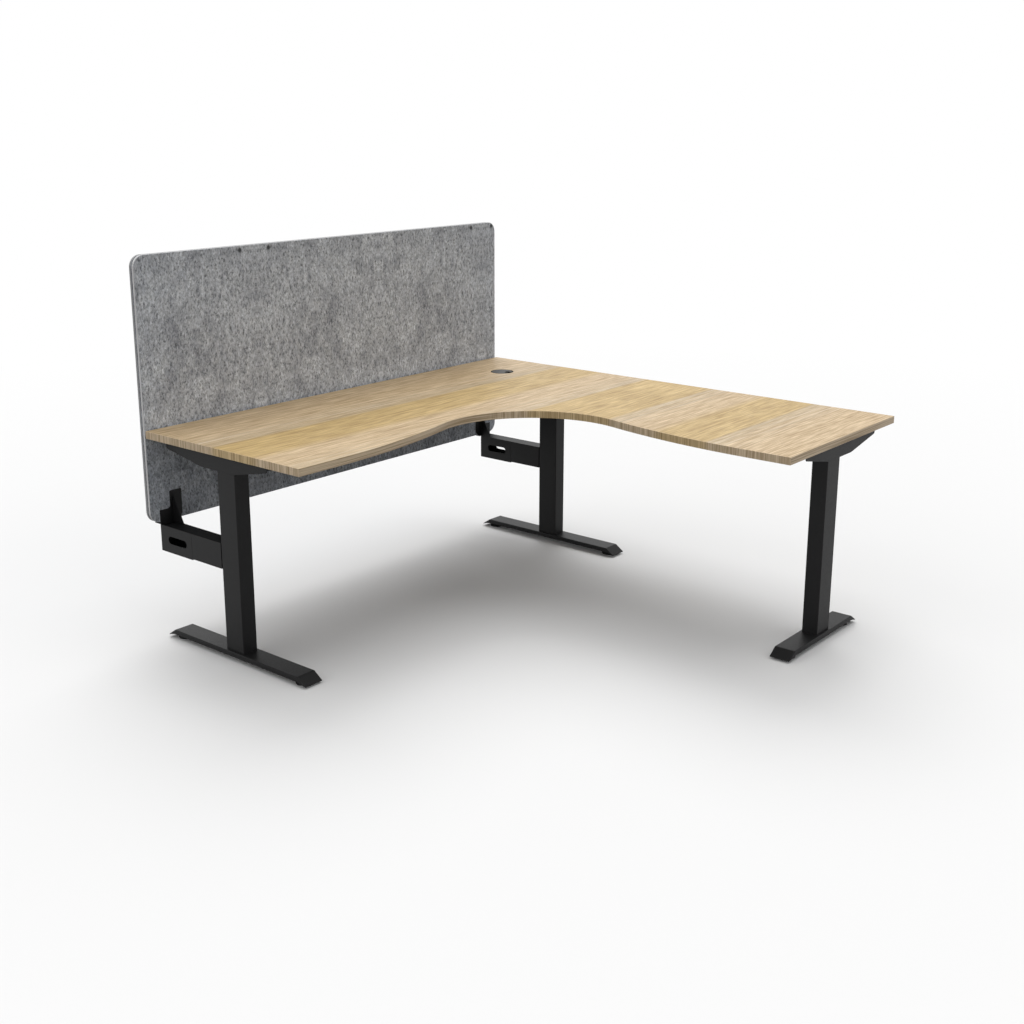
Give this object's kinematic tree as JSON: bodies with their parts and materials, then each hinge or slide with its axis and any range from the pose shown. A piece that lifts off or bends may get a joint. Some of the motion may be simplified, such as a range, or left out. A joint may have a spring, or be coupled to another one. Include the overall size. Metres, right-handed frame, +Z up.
{
  "type": "corner workstation",
  "caption": "Free-standing L-shaped desk with a curved sitting edge, slim T-legs with levelling glides, a cable grommet and a sliding felt screen behind its long edge",
  "frame": {"origin": "on the floor, under the middle of the whole outline", "axes": "+Z up, +Y towards the screen behind the main top, the return runs along -Y at the +X side"},
  "size_m": [1.8, 1.837, 1.304],
  "materials": {
    "oak_laminate": "satin",
    "oak_edging": "satin",
    "black_steel": "satin",
    "zinc_steel": "satin",
    "grey_felt": "matt",
    "core_board": "matt",
    "pad_rubber": "matt",
    "dark_plastic": "satin",
    "glide_plastic": "matt"
  },
  "bodies": {
    "frame": {"worktop_board": "oak_laminate", "edge_band": "oak_edging", "grommet_sleeve": "dark_plastic", "column_left": "black_steel", "column_corner": "black_steel", "column_return": "black_steel", "foot_left": "black_steel", "foot_corner": "black_steel", "foot_return": "black_steel", "top_bracket_left": "black_steel", "top_bracket_corner": "black_steel", "top_bracket_return": "black_steel", "column_head_bolts": "zinc_steel", "foot_bolts": "zinc_steel", "worktop_screws": "zinc_steel", "back_rail": "black_steel", "front_rail": "black_steel", "return_rail_left": "black_steel", "return_rail_right": "black_steel", "rail_bolts": "zinc_steel", "rail_nuts": "zinc_steel", "screen_arm_left": "black_steel", "screen_arm_corner": "black_steel", "arm_bolts": "zinc_steel", "arm_lock_bolts": "zinc_steel", "arm_lock_washers": "zinc_steel", "glide_nuts": "zinc_steel"},
    "screen": {"screen_bracket_left": "black_steel", "screen_bracket_corner": "black_steel", "screen_clamp_left": "black_steel", "screen_clamp_corner": "black_steel", "screen_front_panel": "grey_felt", "screen_core": "core_board", "screen_back_panel": "grey_felt", "screen_pads": "pad_rubber", "screen_bolts": "black_steel"},
    "glide_left_front": {"glide_pad_left_front": "glide_plastic", "glide_stem_left_front": "black_steel"},
    "glide_left_back": {"glide_pad_left_back": "glide_plastic", "glide_stem_left_back": "black_steel"},
    "glide_corner_front": {"glide_pad_corner_front": "glide_plastic", "glide_stem_corner_front": "black_steel"},
    "glide_corner_back": {"glide_pad_corner_back": "glide_plastic", "glide_stem_corner_back": "black_steel"},
    "glide_return_front": {"glide_pad_return_front": "glide_plastic", "glide_stem_return_front": "black_steel"},
    "glide_return_back": {"glide_pad_return_back": "glide_plastic", "glide_stem_return_back": "black_steel"},
    "grommet_cap": {"grommet_cap": "dark_plastic"},
    "grommet_shutter": {"grommet_shutter": "dark_plastic"}
  },
  "joints": [
    {"name": "screen_slide", "type": "slide", "parent": "frame", "child": "screen", "axis": [0, 1, 0], "range_m": [0, 0.05]},
    {"name": "glide_left_front_screw", "type": "slide", "parent": "frame", "child": "glide_left_front", "axis": [0, 0, 1], "range_m": [-0.012, 0]},
    {"name": "glide_left_back_screw", "type": "slide", "parent": "frame", "child": "glide_left_back", "axis": [0, 0, 1], "range_m": [-0.012, 0]},
    {"name": "glide_corner_front_screw", "type": "slide", "parent": "frame", "child": "glide_corner_front", "axis": [0, 0, 1], "range_m": [-0.012, 0]},
    {"name": "glide_corner_back_screw", "type": "slide", "parent": "frame", "child": "glide_corner_back", "axis": [0, 0, 1], "range_m": [-0.012, 0]},
    {"name": "glide_return_front_screw", "type": "slide", "parent": "frame", "child": "glide_return_front", "axis": [0, 0, 1], "range_m": [-0.012, 0]},
    {"name": "glide_return_back_screw", "type": "slide", "parent": "frame", "child": "glide_return_back", "axis": [0, 0, 1], "range_m": [-0.012, 0]},
    {"name": "grommet_cap_lift", "type": "slide", "parent": "frame", "child": "grommet_cap", "axis": [0, 0, 1], "range_m": [0, 0.04]},
    {"name": "grommet_shutter_turn", "type": "hinge", "parent": "grommet_cap", "child": "grommet_shutter", "pos_m": [0.66, 0.6505, 0.7272], "axis": [0, 0, 1], "range_deg": [-94, 0]}
  ]
}
